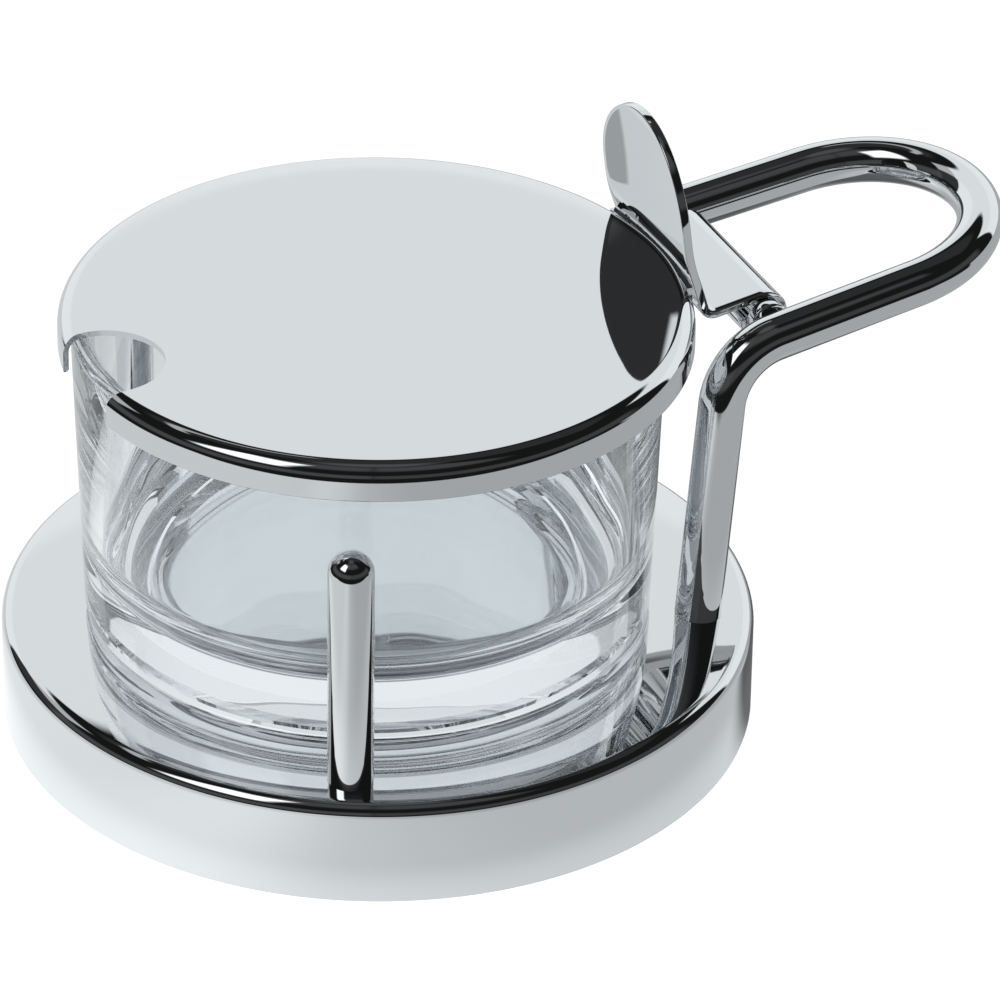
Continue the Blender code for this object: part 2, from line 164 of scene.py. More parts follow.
TABLE_TONE = (0.80, 0.80, 0.80, 1.0)
TABLE_GLOW = 0.90
TABLE_MIRRORED_TINT = (0.95, 0.985, 1.0, 1.0)

# Places and sizes read from the frame
BASE_LOW, BASE_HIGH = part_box("base_shell")
BASE_RADIUS = BASE_HIGH.x
BASE_HEIGHT = BASE_HIGH.z
JAR_LOW, JAR_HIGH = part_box("glass_jar")
JAR_RADIUS = JAR_HIGH.x - JAR_SHIFT
LID_LOW, LID_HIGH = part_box("lid_cover")
LID_RADIUS = LID_HIGH.y
LID_TOP = LID_HIGH.z
PIN_LOW, PIN_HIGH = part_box("hinge_pin")
HINGE_X = (PIN_LOW.x + PIN_HIGH.x) / 2
HINGE_Z = (PIN_LOW.z + PIN_HIGH.z) / 2
PIN_RADIUS = (PIN_HIGH.z - PIN_LOW.z) / 2
KNEE_Z = HINGE_Z - math.tan(ARM_RISE) * (HINGE_X - KNEE_X)


# Mesh helpers

def arc(centre, radius, start, end, steps):
    """Points along an arc, from one angle in degrees to the other."""
    points = []
    for index in range(steps + 1):
        angle = math.radians(start + (end - start) * index / steps)
        points.append((centre[0] + radius * math.cos(angle), centre[1] + radius * math.sin(angle)))
    return points


def smooth_but_for(mesh, angle):
    """Shades a mesh smooth, apart from the edges that turn by more than the angle."""
    mesh.shade_smooth()
    mesh.set_sharp_from_angle(angle=angle)


def add_mesh(name, mesh, material, sharp=30):
    item = bpy.data.objects.new(name, mesh)
    bpy.context.scene.collection.objects.link(item)
    smooth_but_for(mesh, math.radians(sharp))
    if material:
        mesh.materials.append(material)
    return item


def turned_mesh(name, outline, steps, ring=False):
    """The (r, z) outline turned about Z, closed where it meets the axis or itself."""
    work = bmesh.new()
    rows = []
    for r, z in outline:
        if r < MERGE_DISTANCE:
            rows.append([work.verts.new((0.0, 0.0, z))])
        else:
            rows.append([work.verts.new((r * math.cos(math.tau * i / steps),
                                         r * math.sin(math.tau * i / steps), z))
                         for i in range(steps)])
    pairs = list(zip(rows, rows[1:]))
    if ring:
        pairs.append((rows[-1], rows[0]))
    for upper, lower in pairs:
        for i in range(steps):
            j = (i + 1) % steps
            corners = [upper[i % len(upper)], lower[i % len(lower)],
                       lower[j % len(lower)], upper[j % len(upper)]]
            kept = [c for n, c in enumerate(corners) if c not in corners[:n]]
            if len(kept) > 2:
                work.faces.new(kept)
    bmesh.ops.recalc_face_normals(work, faces=work.faces)
    mesh = bpy.data.meshes.new(name)
    work.to_mesh(mesh)
    work.free()
    return mesh


def turned(name, outline, material, steps=ROUND_STEPS, ring=False):
    return add_mesh(name, turned_mesh(name, outline, steps, ring), material)


def bake(item):
    """Makes the object's modifiers part of its mesh."""
    bpy.context.view_layer.update()
    graph = bpy.context.evaluated_depsgraph_get()
    mesh = bpy.data.meshes.new_from_object(item.evaluated_get(graph))
    item.modifiers.clear()
    item.data = mesh


def cut(item, cutter, operation="DIFFERENCE"):
    modifier = item.modifiers.new("Cut", "BOOLEAN")
    modifier.operation = operation
    modifier.solver = "EXACT"
    modifier.object = cutter
    bake(item)
    bpy.data.objects.remove(cutter, do_unlink=True)


def merge_close(item):
    """Joins points that lie on each other, so that no face without area is left."""
    work = bmesh.new()
    work.from_mesh(item.data)
    bmesh.ops.remove_doubles(work, verts=work.verts, dist=MERGE_DISTANCE)
    bmesh.ops.dissolve_degenerate(work, edges=work.edges, dist=MERGE_DISTANCE)
    work.to_mesh(item.data)
    work.free()


def break_edges(item):
    """Rounds the sharp edges of a cut sheet a little, so that they catch the light."""
    bevel = item.modifiers.new("Edges", "BEVEL")
    bevel.width = EDGE_BREAK
    bevel.segments = EDGE_BREAK_SEGMENTS
    bevel.limit_method = "ANGLE"
    bevel.angle_limit = EDGE_BREAK_ANGLE
    bevel.use_clamp_overlap = True
    bake(item)
    merge_close(item)
    true_shading(item)


def true_shading(item):
    """Lets the large faces set the normals, so that flat sheet mirrors as flat sheet does."""
    smooth_but_for(item.data, SHEET_SHARP_ANGLE)
    weighted = item.modifiers.new("Shading", "WEIGHTED_NORMAL")
    weighted.keep_sharp = True
    bake(item)


def bowed_block(front, depth, reach, low, high):
    """A block whose front follows front(y), as deep, wide and high as asked."""
    corners = []
    for n in range(BOW_STEPS + 1):
        y = reach * (2 * n / BOW_STEPS - 1)
        x = front(y)
        corners += [(x, y, low), (x, y, high), (x + depth, y, high), (x + depth, y, low)]
    last = 4 * BOW_STEPS
    faces = [(0, 3, 2, 1), (last, last + 1, last + 2, last + 3)]
    for n in range(0, last, 4):
        for i in range(4):
            j = (i + 1) % 4
            faces.append((n + i, n + j, n + 4 + j, n + 4 + i))
    mesh = bpy.data.meshes.new("block")
    mesh.from_pydata(corners, [], faces)
    return add_mesh("block", mesh, None)


# Materials

def shader_of(material):
    material.use_nodes = True
    return material.node_tree.nodes["Principled BSDF"]


def add_node(tree, kind, **values):
    node = tree.nodes.new(kind)
    for name, value in values.items():
        if name in node.inputs:
            node.inputs[name].default_value = value
        else:
            setattr(node, name, value)
    return node


def object_noise(tree, scale, detail, stretch=(1.0, 1.0, 1.0)):
    place = add_node(tree, "ShaderNodeTexCoord")
    spread = add_node(tree, "ShaderNodeMapping")
    spread.inputs["Scale"].default_value = stretch
    noise = add_node(tree, "ShaderNodeTexNoise")
    noise.inputs["Scale"].default_value = scale
    noise.inputs["Detail"].default_value = detail
    tree.links.new(place.outputs["Object"], spread.inputs["Vector"])
    tree.links.new(spread.outputs["Vector"], noise.inputs["Vector"])
    return noise


def ranged(tree, source, low, high):
    span = add_node(tree, "ShaderNodeMapRange")
    span.inputs["To Min"].default_value = low
    span.inputs["To Max"].default_value = high
    tree.links.new(source, span.inputs["Value"])
    return span.outputs["Result"]


def add_relief(tree, source, shader, share, depth):
    bump = add_node(tree, "ShaderNodeBump")
    bump.inputs["Strength"].default_value = share
    bump.inputs["Distance"].default_value = depth
    tree.links.new(source, bump.inputs["Height"])
    tree.links.new(bump.outputs["Normal"], shader.inputs["Normal"])


def polished_steel():
    """Mirror-polished stainless steel, with the faint haze and waviness of hand buffing."""
    material = bpy.data.materials.new("mirror_steel")
    shader = shader_of(material)
    tree = material.node_tree
    shader.inputs["Base Color"].default_value = STEEL_TONE
    shader.inputs["Metallic"].default_value = 1.0
    haze = object_noise(tree, STEEL_HAZE_SCALE, STEEL_HAZE_DETAIL)
    tree.links.new(ranged(tree, haze.outputs["Fac"], *STEEL_HAZE), shader.inputs["Roughness"])
    wave = object_noise(tree, STEEL_WAVE_SCALE, 1.0)
    add_relief(tree, wave.outputs["Fac"], shader, STEEL_WAVE_SHARE, STEEL_WAVE_DEPTH)
    return material


def spun_steel():
    """Plain stainless sheet with the fine rings that spinning leaves, for the underside."""
    material = bpy.data.materials.new("spun_steel")
    shader = shader_of(material)
    tree = material.node_tree
    shader.inputs["Metallic"].default_value = 1.0
    place = add_node(tree, "ShaderNodeTexCoord")
    rings = add_node(tree, "ShaderNodeTexWave", wave_type="RINGS", rings_direction="Z")
    rings.inputs["Scale"].default_value = SPUN_RING_SCALE
    rings.inputs["Distortion"].default_value = SPUN_RING_WANDER
    rings.inputs["Detail"].default_value = SPUN_RING_DETAIL
    tree.links.new(place.outputs["Object"], rings.inputs["Vector"])
    tone = add_node(tree, "ShaderNodeMix", data_type="RGBA")
    tone.inputs["A"].default_value = SPUN_TONE_DARK
    tone.inputs["B"].default_value = SPUN_TONE_PALE
    tree.links.new(rings.outputs["Fac"], tone.inputs["Factor"])
    tree.links.new(tone.outputs["Result"], shader.inputs["Base Color"])
    tree.links.new(ranged(tree, rings.outputs["Fac"], *SPUN_HAZE), shader.inputs["Roughness"])
    add_relief(tree, rings.outputs["Fac"], shader, SPUN_RING_SHARE, SPUN_RING_DEPTH)
    return material


def clear_glass():
    """Clear pressed glass: smooth, with the slight swell that a mould leaves."""
    material = bpy.data.materials.new("pressed_glass")
    shader = shader_of(material)
    tree = material.node_tree
    shader.inputs["Base Color"].default_value = GLASS_TONE
    shader.inputs["Roughness"].default_value = 0.0
    shader.inputs["IOR"].default_value = GLASS_BENDING
    shader.inputs["Transmission Weight"].default_value = 1.0
    swell = object_noise(tree, GLASS_SWELL_SCALE, 1.0, GLASS_SWELL_STRETCH)
    add_relief(tree, swell.outputs["Fac"], shader, GLASS_SWELL_SHARE, GLASS_SWELL_DEPTH)
    return material


# Pieces

def crowned_edge(radius, top, width, crown, edge, drop):
    """A top surface from the axis to the wall: flat, then gently crowned, then a tight edge."""
    flat = radius - width
    crown_centre = (flat, top - crown)
    edge_centre_r = radius - edge
    reach = edge_centre_r - flat
    edge_centre = (edge_centre_r, top - crown + math.sqrt((crown - edge) ** 2 - reach ** 2))
    meeting = math.degrees(math.atan2(edge_centre[1] - crown_centre[1], reach))
    points = [(0.0, top - drop), (flat / 2, top - drop)]
    points += arc(crown_centre, crown - drop, 90, meeting, CROWN_STEPS)
    points += arc(edge_centre, edge - drop, meeting, 0, PAN_EDGE_STEPS)[1:]
    return points


def pan_outline(radius, top, low, sheet, width, crown, edge):
    """A pressed pan upside down: crowned top, tight edge, straight wall and a rounded lower lip."""
    outside = crowned_edge(radius, top, width, crown, edge, 0.0)
    inside = crowned_edge(radius, top, width, crown, edge, sheet)
    lip = sheet / 3
    middle = (radius - sheet / 2, low + lip)
    rim = [(radius, low + lip)]
    rim += [(middle[0] + (sheet / 2) * math.cos(a), middle[1] - lip * math.sin(a))
            for a in [math.pi * n / LIP_STEPS for n in range(1, LIP_STEPS)]]
    rim += [(radius - sheet, low + lip)]
    return outside + rim + inside[::-1]


def make_base(steel):
    outline = pan_outline(BASE_RADIUS, BASE_HEIGHT, 0.0, BASE_SHEET, BASE_CROWN_WIDTH,
                          BASE_CROWN_RADIUS, BASE_EDGE_RADIUS)
    shell = turned("stand_shell", outline, steel)
    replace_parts(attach(shell, "stand"), "base_shell")


def plate_bow(y):
    """How far the plate's face lies behind its mean place, at a distance from the middle."""
    return (LEAF_HALF_WIDTH ** 2 / 3 - y * y) / (2 * PLATE_BOW_RADIUS)


def foot_sweep(rise):
    """How far the plate's foot curves back at a height over the lid."""
    return max(0.0, FOOT_SWEEP_RISE - max(0.0, rise)) ** 2 / (2 * FOOT_SWEEP_RADIUS)


def close_rear(cover):
    """Ends the lid along the thumb plate's face, with its skirt led straight across there."""
    def face(y):
        bow = plate_bow(min(abs(y), LEAF_HALF_WIDTH))
        return PLATE_FACE_X + bow + foot_sweep(0.0) - SLIGHT_GAP

    cut(cover, bowed_block(face, LID_RADIUS, LEAF_HALF_WIDTH + SLIGHT_GAP,
                           LID_LOW.z - CUT_OVER, LID_TOP + CUT_OVER))
    wall = bowed_block(lambda y: face(y) - LID_SHEET, LID_SHEET, LEAF_HALF_WIDTH - LID_SHEET / 2,
                       LID_LOW.z, LID_TOP - LID_SHEET / 2)
    cut(cover, wall, "UNION")


def make_lid(steel):
    outline = pan_outline(LID_RADIUS, LID_TOP, LID_LOW.z, LID_SHEET, LID_CROWN_WIDTH,
                          LID_CROWN_RADIUS, LID_EDGE_RADIUS)
    cover = turned("lid_pressing", outline, steel)
    cover.data.transform(Matrix.Translation((LID_SHIFT, 0.0, 0.0)))
    close_rear(cover)
    high = LID_TOP + CUT_OVER
    low = LID_LOW.z - CUT_OVER
    notch_x = LID_SHIFT - LID_RADIUS + NOTCH_INSET
    notch = turned("notch", [(0.0, high), (NOTCH_RADIUS, high), (NOTCH_RADIUS, low), (0.0, low)],
                   None, NOTCH_STEPS)
    notch.data.transform(Matrix.Translation((notch_x, 0.0, 0.0)))
    cut(cover, notch)
    break_edges(cover)
    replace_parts(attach(cover, "lid"), "lid_cover")


def jar_outline():
    """From the middle of the inner floor up the inside, over the rim and down the outside."""
    foot = JAR_LOW.z
    top = JAR_HIGH.z
    draft = math.atan2(JAR_DRAFT, top - foot)
    lean = math.degrees(draft)
    floor = foot + JAR_FLOOR
    rim = JAR_WALL / 2

    def outer_at(z):
        return JAR_RADIUS - math.tan(draft) * (top - z)

    corner_z = floor + JAR_INNER_CORNER
    corner_r = outer_at(corner_z) - JAR_WALL - JAR_INNER_CORNER
    rim_z = top - rim
    foot_z = foot + JAR_FOOT_CORNER
    foot_r = outer_at(foot_z) - JAR_FOOT_CORNER
    ring_r = foot_r - JAR_FOOT_RING
    outline = [(0.0, floor), (corner_r / 2, floor)]
    outline += arc((corner_r, corner_z), JAR_INNER_CORNER, -90, -lean, JAR_INNER_STEPS)
    outline += arc((outer_at(rim_z) - rim, rim_z), rim, 180 - lean, -lean, JAR_RIM_STEPS)
    outline += arc((foot_r, foot_z), JAR_FOOT_CORNER, -lean, -90, JAR_FOOT_STEPS)
    outline += [(ring_r, foot), (ring_r - JAR_PUNT, foot + JAR_PUNT)]
    outline += [(0.0, foot + JAR_PUNT)]
    return outline


def make_jar(glass):
    jar = turned("jar_glass", jar_outline(), glass)
    jar.data.transform(Matrix.Translation((JAR_SHIFT, 0.0, 0.0)))
    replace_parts(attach(jar, "jar"), "glass_jar")


def loop_tangent():
    """How far the arms draw together, in plan, on their way from the knees to the loop."""
    run = LOOP_CENTRE_X - KNEE_X
    return math.atan2(KNEE_SPREAD, run) - math.asin(LOOP_RADIUS / math.hypot(run, KNEE_SPREAD))


def arm_height(x):
    return KNEE_Z + math.tan(ARM_RISE) * (x - KNEE_X)


def turn_between(start, end, steps):
    """Points that swing from one arm to the other about the origin."""
    sweep = start.angle(end)
    for index in range(steps + 1):
        share = index / steps
        yield (math.sin((1 - share) * sweep) * start + math.sin(share * sweep) * end) / math.sin(sweep)


def handle_half():
    """Centre line of the right half of the rod, from its foot to the middle of the loop."""
    foot = Vector((LEG_FOOT_X, -LEG_FOOT_SPREAD, BASE_HEIGHT))
    knee = Vector((KNEE_X, -KNEE_SPREAD, KNEE_Z))
    inward = loop_tangent()
    touch_x = LOOP_CENTRE_X + LOOP_RADIUS * math.sin(inward)
    touch = Vector((touch_x, -LOOP_RADIUS * math.cos(inward), arm_height(touch_x)))
    down = (foot - knee).normalized()
    along = (touch - knee).normalized()
    half_angle = down.angle(along) / 2
    setback = KNEE_RADIUS / math.tan(half_angle)
    middle = knee + (down + along).normalized() * (KNEE_RADIUS / math.sin(half_angle))
    start = knee + down * setback - middle
    end = knee + along * setback - middle
    points = [foot + down * BASE_EDGE_RADIUS]
    points += [middle + point for point in turn_between(start, end, KNEE_STEPS)]
    first = -math.pi / 2 + inward
    for index in range(LOOP_STEPS + 1):
        angle = first * (1 - index / LOOP_STEPS)
        x = LOOP_CENTRE_X + LOOP_RADIUS * math.cos(angle)
        points.append(Vector((x, LOOP_RADIUS * math.sin(angle), arm_height(x))))
    return points


def swept_rod(name, points, radius, sides, material):
    """A round rod along a line, with flat ends; the sections turn as little as they can."""
    work = bmesh.new()
    count = len(points)
    ways = []
    for i in range(count):
        ways.append((points[min(i + 1, count - 1)] - points[max(i - 1, 0)]).normalized())
    across = ways[0].orthogonal().normalized()
    rows = []
    for point, way in zip(points, ways):
        across = (across - way * across.dot(way)).normalized()
        other = way.cross(across)
        rows.append([work.verts.new(point + radius * (math.cos(math.tau * n / sides) * across
                                                      + math.sin(math.tau * n / sides) * other))
                     for n in range(sides)])
    for one, two in zip(rows, rows[1:]):
        for n in range(sides):
            m = (n + 1) % sides
            work.faces.new((one[n], one[m], two[m], two[n]))
    work.faces.new(rows[0][::-1])
    work.faces.new(rows[-1])
    bmesh.ops.recalc_face_normals(work, faces=work.faces)
    mesh = bpy.data.meshes.new(name)
    work.to_mesh(mesh)
    work.free()
    return add_mesh(name, mesh, material)


def base_top_solid():
    """The stand's top as a cutter, which trims what stands on it to that surface."""
    outline = crowned_edge(BASE_RADIUS, BASE_HEIGHT + SLIGHT_GAP, BASE_CROWN_WIDTH,
                           BASE_CROWN_RADIUS, BASE_EDGE_RADIUS, 0.0)
    outline += [(BASE_RADIUS, 0.0), (0.0, 0.0)]
    return turned("base_top", outline, None, SMALL_STEPS * 2)


def make_handle(steel):
    half = handle_half()
    mirrored = [Vector((p.x, -p.y, p.z)) for p in half[-2::-1]]
    rod = swept_rod("bent_rod", half + mirrored, ROD_RADIUS, ROD_SIDES, steel)
    cut(rod, base_top_solid())
    smooth_but_for(rod.data, ROD_SHARP_ANGLE)
    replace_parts(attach(rod, "stand"), "handle_rod")


def make_posts(steel):
    for node, name in (("post_right", "front_post_right"), ("post_left", "front_post_left")):
        low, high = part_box(node)
        radius = (high.x - low.x) / 2
        dome = high.z - radius
        outline = arc((0.0, dome), radius, 90, 0, DOME_STEPS)
        outline += [(radius, low.z - BASE_EDGE_RADIUS), (0.0, low.z - BASE_EDGE_RADIUS)]
        post = turned(name, outline, steel, SMALL_STEPS)
        post.data.transform(Matrix.Translation(((low.x + high.x) / 2, (low.y + high.y) / 2, 0.0)))
        cut(post, base_top_solid())
        smooth_but_for(post.data, ROD_SHARP_ANGLE)
        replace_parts(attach(post, "stand"), node)


def leaf_line():
    """Middle of the sheet seen from the side: down the plate, along the leaf, round the pin."""
    roll_radius = PIN_RADIUS + PIN_CLEARANCE + LEAF_SHEET / 2
    along = Vector((math.cos(ARM_RISE), math.sin(ARM_RISE)))
    up = Vector((-math.sin(PLATE_LEAN), math.cos(PLATE_LEAN)))
    hinge = Vector((HINGE_X, HINGE_Z))
    tangent = hinge + roll_radius * Vector((-along.y, along.x))
    face = Vector((PLATE_FACE_X + LEAF_SHEET / 2 / math.cos(PLATE_LEAN), LID_TOP))
    drop = ((tangent - face).x * along.y - (tangent - face).y * along.x)
    drop /= (up.x * along.y - up.y * along.x)
    corner = face + up * drop
    half_angle = math.acos(up.dot(along)) / 2
    setback = LEAF_BEND_RADIUS / math.tan(half_angle)
    middle = corner + (up + along).normalized() * (LEAF_BEND_RADIUS / math.sin(half_angle))
    start = corner + up * setback - middle
    end = corner + along * setback - middle
    points = [middle + point for point in turn_between(start, end, BEND_STEPS)]
    first = math.pi / 2 + ARM_RISE
    for index in range(ROLL_STEPS + 1):
        angle = first - LEAF_ROLL * index / ROLL_STEPS
        points.append(hinge + roll_radius * Vector((math.cos(angle), math.sin(angle))))
    return points


def leaf_grid():
    """Rows of (centre, way up the sheet, share of the width, share of the round end), top down."""
    up = Vector((-math.sin(PLATE_LEAN), math.cos(PLATE_LEAN)))
    face = Vector((PLATE_FACE_X + LEAF_SHEET / 2 / math.cos(PLATE_LEAN), LID_TOP))
    round_rise = PLATE_RISE - LEAF_HALF_WIDTH / up.y
    rows = []
    for step in range(PLATE_ARC_STEPS):
        angle = math.radians(PLATE_ARC_START * (1 - step / PLATE_ARC_STEPS))
        rows.append((face + up * round_rise, up, math.cos(angle), math.sin(angle) / up.y))
    line = leaf_line()
    low = [point for point in line if (point - face).dot(up) < round_rise]
    start = face + up * round_rise
    for step in range(PLATE_STRAIGHT_STEPS):
        rows.append((start.lerp(low[0], step / PLATE_STRAIGHT_STEPS), up, 1.0, 0.0))
    rows += [(point, None, 1.0, 0.0) for point in low]
    centres = [row[0] for row in rows]
    finished = []
    for index, (centre, way, wide, round_share) in enumerate(rows):
        if way is None:
            before = centres[index - 1]
            after = centres[min(index + 1, len(rows) - 1)]
            way = (before - after).normalized()
        finished.append((centre, way, wide, round_share))
    return finished


def leaf_levels():
    """Pairs of (inset, depth) through the sheet's rounded edge, from the front to the back."""
    levels = []
    for step in range(LEAF_EDGE_STEPS + 1):
        angle = math.pi / 2 * step / LEAF_EDGE_STEPS
        levels.append((PLATE_EDGE * (1 - math.sin(angle)),
                       LEAF_SHEET / 2 - PLATE_EDGE * (1 - math.cos(angle))))
    return levels + [(inset, -depth) for inset, depth in levels[::-1]]


def leaf_mesh():
    """The leaf's sheet: a front and a back face, joined by a softly rounded edge all round."""
    rows = leaf_grid()
    columns = LEAF_COLUMNS
    last = len(rows) - 1
    levels = leaf_levels()
    work = bmesh.new()

    def corner(row, column, inset, depth):
        centre, way, wide, round_share = rows[row]
        half = LEAF_HALF_WIDTH - inset
        across = half * wide * (2 * column / (columns - 1) - 1)
        place = centre + way * (half * round_share)
        if row == last:
            place = place + way * inset
        front = Vector((-way.y, way.x))
        place = place + front * depth
        rise = place.y - LID_TOP + 2 * LEAF_BEND_RADIUS
        share = min(1.0, max(0.0, rise / (2 * LEAF_BEND_RADIUS)))
        back = share * plate_bow(across) + foot_sweep(place.y - LID_TOP)
        if place.x > HINGE_X - LEAF_HALF_WIDTH / 2:
            back = 0.0
        return work.verts.new((place.x + back, across, place.y))

    around = [(0, column) for column in range(columns)]
    around += [(row, columns - 1) for row in range(1, last + 1)]
    around += [(last, column) for column in range(columns - 2, -1, -1)]
    around += [(row, 0) for row in range(last - 1, 0, -1)]
    loops = []
    for index, (inset, depth) in enumerate(levels):
        if index in (0, len(levels) - 1):
            sheet = [[corner(row, column, inset, depth) for column in range(columns)]
                     for row in range(last + 1)]
            for row in range(last):
                for column in range(columns - 1):
                    work.faces.new((sheet[row][column], sheet[row][column + 1],
                                    sheet[row + 1][column + 1], sheet[row + 1][column]))
            loops.append([sheet[row][column] for row, column in around])
        else:
            loops.append([corner(row, column, inset, depth) for row, column in around])
    count = len(around)
    for one, two in zip(loops, loops[1:]):
        for n in range(count):
            m = (n + 1) % count
            work.faces.new((one[n], one[m], two[m], two[n]))
    bmesh.ops.recalc_face_normals(work, faces=work.faces)
    mesh = bpy.data.meshes.new("thumb_plate")
    work.to_mesh(mesh)
    work.free()
    return mesh


def make_leaf(steel):
    leaf = add_mesh("thumb_plate", leaf_mesh(), steel, 60)
    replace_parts(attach(leaf, "lid"), "thumb_leaf")


def onto_hinge():
    """Turns what was made about Z onto the hinge's axis."""
    return Matrix.Translation((HINGE_X, 0.0, HINGE_Z)) @ Matrix.Rotation(math.radians(-90), 4, "X")


def cross_ring(name, bore, radius, near, far, material):
    """A collar on the hinge's axis with rounded edges, between two y values."""
    soft = (radius - bore) / 4
    outline = arc((radius - soft, far - soft), soft, 90, 0, COLLAR_EDGE_STEPS)
    outline += arc((radius - soft, near + soft), soft, 0, -90, COLLAR_EDGE_STEPS)
    outline += [(bore, near), (bore, far)]
    item = turned(name, outline, material, SMALL_STEPS, ring=True)
    item.data.transform(onto_hinge())
    return item


def make_hinge(steel):
    length = (PIN_HIGH.y - PIN_LOW.y) / 2
    outline = [(0.0, length), (PIN_RADIUS, length), (PIN_RADIUS, -length), (0.0, -length)]
    pin = turned("cross_pin", outline, steel, SMALL_STEPS)
    pin.data.transform(onto_hinge())
    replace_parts(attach(pin, "stand"), "hinge_pin")
    for node, name in (("pin_spacer_right", "collar_right"), ("pin_spacer_left", "collar_left")):
        low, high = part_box(node)
        collar = cross_ring(name, PIN_RADIUS + SLIGHT_GAP, (high.z - low.z) / 2,
                            low.y, high.y, steel)
        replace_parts(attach(collar, "stand"), node)


def dress_cad_nodes(plain):
    """Gives the plate under the stand and the hidden screws, which stay the solids, plain steel."""
    for node in ("base_plate", "leg_screw_right", "leg_screw_left", "post_screw_right",
                 "post_screw_left"):
        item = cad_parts[node]
        item.data.materials.clear()
        item.data.materials.append(plain)


# Studio

class Tones:
    """Builds sums and products of soft-edged values out of shader nodes."""

    def __init__(self, tree):
        self.tree = tree

    def math(self, operation, first, second=0.0):
        node = add_node(self.tree, "ShaderNodeMath", operation=operation)
        for slot, value in zip(node.inputs, (first, second)):
            if isinstance(value, (int, float)):
                slot.default_value = value
            else:
                self.tree.links.new(value, slot)
        return node.outputs[0]

    def dot(self, source, vector):
        node = add_node(self.tree, "ShaderNodeVectorMath", operation="DOT_PRODUCT")
        self.tree.links.new(source, node.inputs[0])
        node.inputs[1].default_value = vector
        return node.outputs["Value"]

    def rise(self, source, low, high):
        """0 below low, 1 above high, smooth between; swapped limits give a fall."""
        node = add_node(self.tree, "ShaderNodeMapRange", interpolation_type="SMOOTHSTEP")
        self.tree.links.new(source, node.inputs["Value"])
        falls = low > high
        node.inputs["From Min"].default_value = min(low, high)
        node.inputs["From Max"].default_value = max(low, high)
        node.inputs["To Min"].default_value = 1.0 if falls else 0.0
        node.inputs["To Max"].default_value = 0.0 if falls else 1.0
        return node.outputs["Result"]

    def ramp(self, source, low, high, first, last):
        """A smooth change from the first value below low to the last value above high."""
        node = add_node(self.tree, "ShaderNodeMapRange", interpolation_type="SMOOTHSTEP")
        self.tree.links.new(source, node.inputs["Value"])
        node.inputs["From Min"].default_value = low
        node.inputs["From Max"].default_value = high
        node.inputs["To Min"].default_value = first
        node.inputs["To Max"].default_value = last
        return node.outputs["Result"]

    def window(self, source, low, high, soft):
        """1 between low and high, 0 outside, with soft ends."""
        return self.math("MULTIPLY", self.rise(source, low - soft, low + soft),
                         self.rise(source, high + soft, high - soft))

    def patch(self, turn, height, left, right, low, high, soft, value):
        """A patch of light between two turns and two heights, in degrees."""
        across = self.window(turn, left, right, soft)
        upright = self.window(height, low, high, soft)
        return self.math("MULTIPLY", self.math("MULTIPLY", across, upright), value)


def direction_angles(tones, source):
    """Turn from straight ahead, positive to the right, and height above the horizon."""
    ahead = tones.dot(source, SIGHT_AHEAD)
    right = tones.dot(source, SIGHT_RIGHT)
    up = tones.dot(source, Vector((0.0, 0.0, 1.0)))
    turn = tones.math("DEGREES", tones.math("ARCTAN2", right, ahead))
    height = tones.math("DEGREES", tones.math("ARCSINE", up))
    return turn, height


# Turn left, turn right, height low, height high, softness, brightness
STUDIO_PATCHES = [
    (-47.5, 60.0, -90.0, 27.0, 1.2, 0.950),
    (-50.0, 60.0, 27.0, 40.5, 1.2, 0.870),
    (-74.0, -50.0, 28.0, 40.5, 1.5, 0.500),
    (-78.0, -47.5, 5.0, 28.0, 2.0, 0.028),
    (-62.0, 75.0, 50.0, 78.0, 2.0, 0.020),
    (-70.0, -8.0, 54.0, 57.5, 1.0, 0.45),
    (-146.0, -109.0, 34.0, 63.0, 4.0, 1.50),
    (-181.0, -120.0, 50.0, 76.0, 7.0, 0.055),
    (120.0, 181.0, 50.0, 76.0, 7.0, 0.055),
    (-181.0, -75.0, 3.0, 22.0, 4.0, 0.060),
    (80.0, 181.0, 3.0, 22.0, 4.0, 0.045),
    (-190.0, 190.0, 80.0, 95.0, 4.0, 0.075),
]
STUDIO_DARK = 0.010
STUDIO_TINT = (0.955, 0.99, 1.0, 1.0)
WHITE = (1.0, 1.0, 1.0, 1.0)

# What the glass shows of the pale room
GLASS_PALE = (0.83, 0.89, 0.95, 1.0)
GLASS_PALE_SHARE = 0.30

# Light caught inside the glass's wall needs this many bounces to leave it
MOST_BOUNCES = 40

# Painted light on the table as steel mirrors it, lighter on the left where the light falls. Across:
# left, right, tone at the left, tone at the right.
TABLE_ACROSS = (-0.07, 0.04, 0.90, 0.58)
# Away from the middle: near, far, tone near, tone far. A painted pool of light close round the stand,
# and painted shade further out.
TABLE_RIM = (0.050, 0.057, 0.16, 0.0)
TABLE_OUTWARD = (0.065, 0.095, 1.0, 0.78)
# A painted strip of light: left, right, softness, and its tone
TABLE_STRIP = (-0.042, -0.014, 0.012)
TABLE_STRIP_PAINTED_LIGHT = 0.13
# The object's own shadow, painted on the table behind a slanting line on the right
LEE_START = 0.046
LEE_SLOPE = 1.4
LEE_AHEAD = (-0.0195, -0.010)
LEE_RIGHT = (0.030, 0.045)
LEE_AWAY = (0.120, 0.080)
PAINTED_SHADOW_DEPTH = 0.80
# Where the painted light on the table ends, with dark beyond: in front, at its sides, and onward
# behind the object
BRIGHT_FRONT = (-0.165, -0.145)
BRIGHT_SIDES = (-0.26, 0.40, 0.02)
ONWARD_SLOPE = 1.15
ONWARD_RIGHT = (0.0, 0.06)
ONWARD_AHEAD = (0.0, 0.04)


